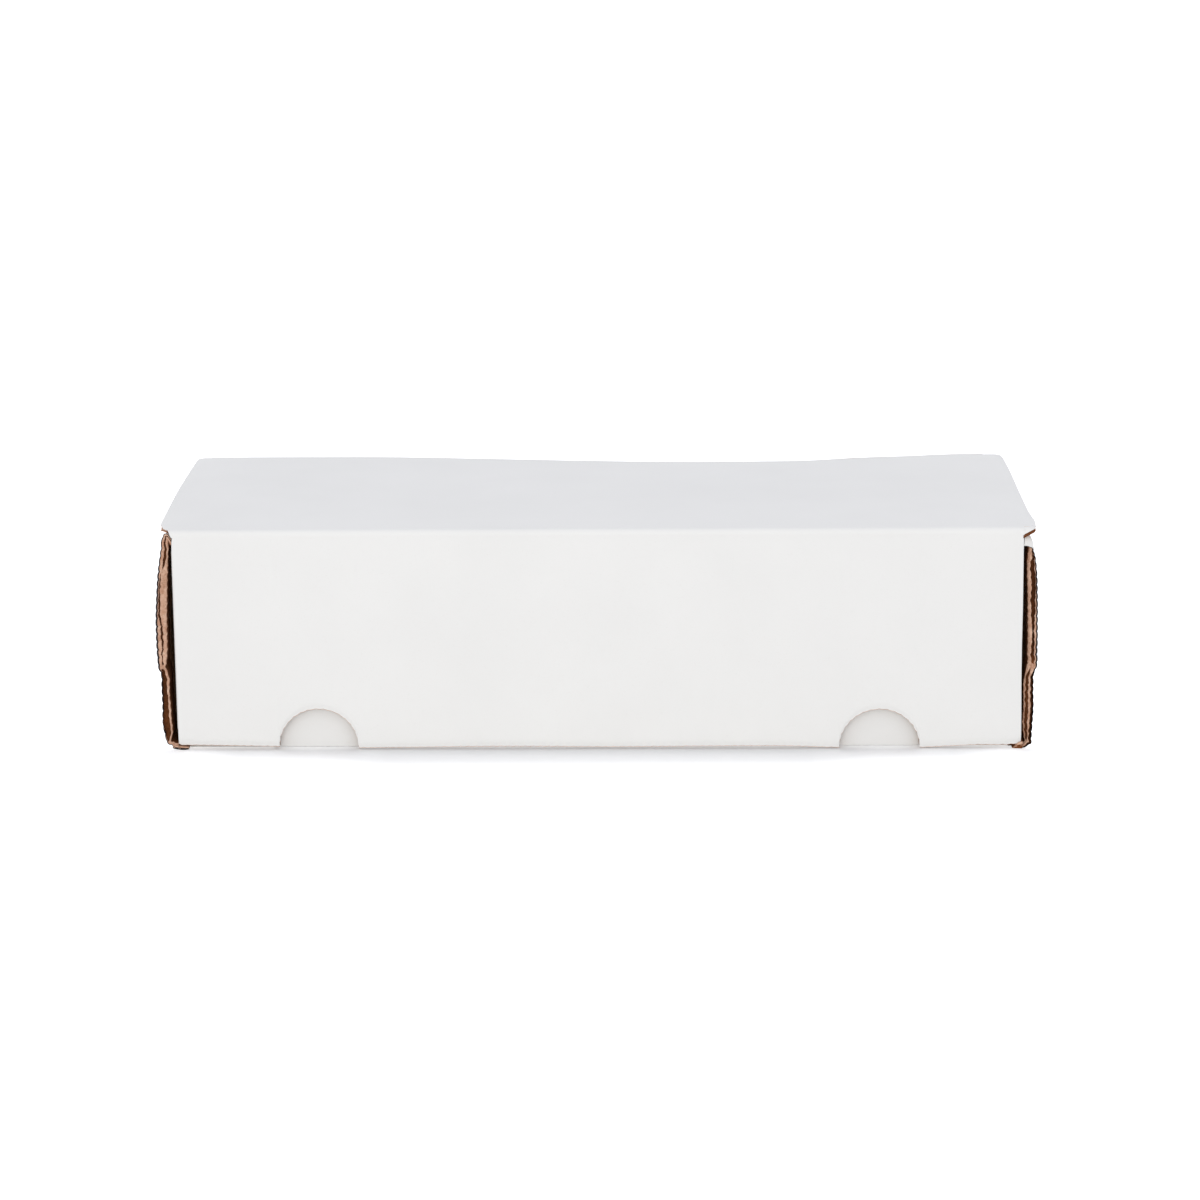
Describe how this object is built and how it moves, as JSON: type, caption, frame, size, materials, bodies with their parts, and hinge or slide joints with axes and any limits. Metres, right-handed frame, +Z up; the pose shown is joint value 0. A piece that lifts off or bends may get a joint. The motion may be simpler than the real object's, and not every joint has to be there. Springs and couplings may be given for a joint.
{
  "type": "card storage box",
  "caption": "Long folding corrugated box that stores cards on edge, with a hinged lid, a front flap with half-round thumb notches, tucked ears and roll-over end walls.",
  "frame": {"origin": "centre of the box's footprint, on the surface it stands on", "axes": "+X along the length towards the right end seen from the front, +Y from the front flap to the back wall, +Z up"},
  "size_m": [0.2936, 0.104, 0.0765],
  "materials": {
    "white_board": "smooth white liner, matt",
    "kraft_board": "bare brown kraft liner, matt"
  },
  "bodies": {
    "tray": {"bottom_panel": "kraft_board", "front_wall": "white_board", "back_wall": "white_board", "end_wall_outer_left": "white_board", "end_wall_top_left": "white_board", "end_wall_inner_left": "white_board", "dust_flap_front_left": "kraft_board", "dust_flap_back_left": "kraft_board", "end_wall_outer_right": "white_board", "end_wall_top_right": "white_board", "end_wall_inner_right": "white_board", "dust_flap_front_right": "kraft_board", "dust_flap_back_right": "kraft_board"},
    "lid": {"lid_panel": "white_board"},
    "flap": {"lid_front_flap": "white_board", "flap_ear_left": "kraft_board", "flap_ear_right": "kraft_board"}
  },
  "joints": [
    {"name": "lid_hinge", "type": "hinge", "parent": "tray", "child": "lid", "pos_m": [0, 0.052, 0.0765], "axis": [-1, 0, 0], "range_deg": [0, 180]},
    {"name": "flap_hinge", "type": "hinge", "parent": "lid", "child": "flap", "pos_m": [0, -0.052, 0.0765], "axis": [-1, 0, 0], "range_deg": [0, 120]}
  ]
}
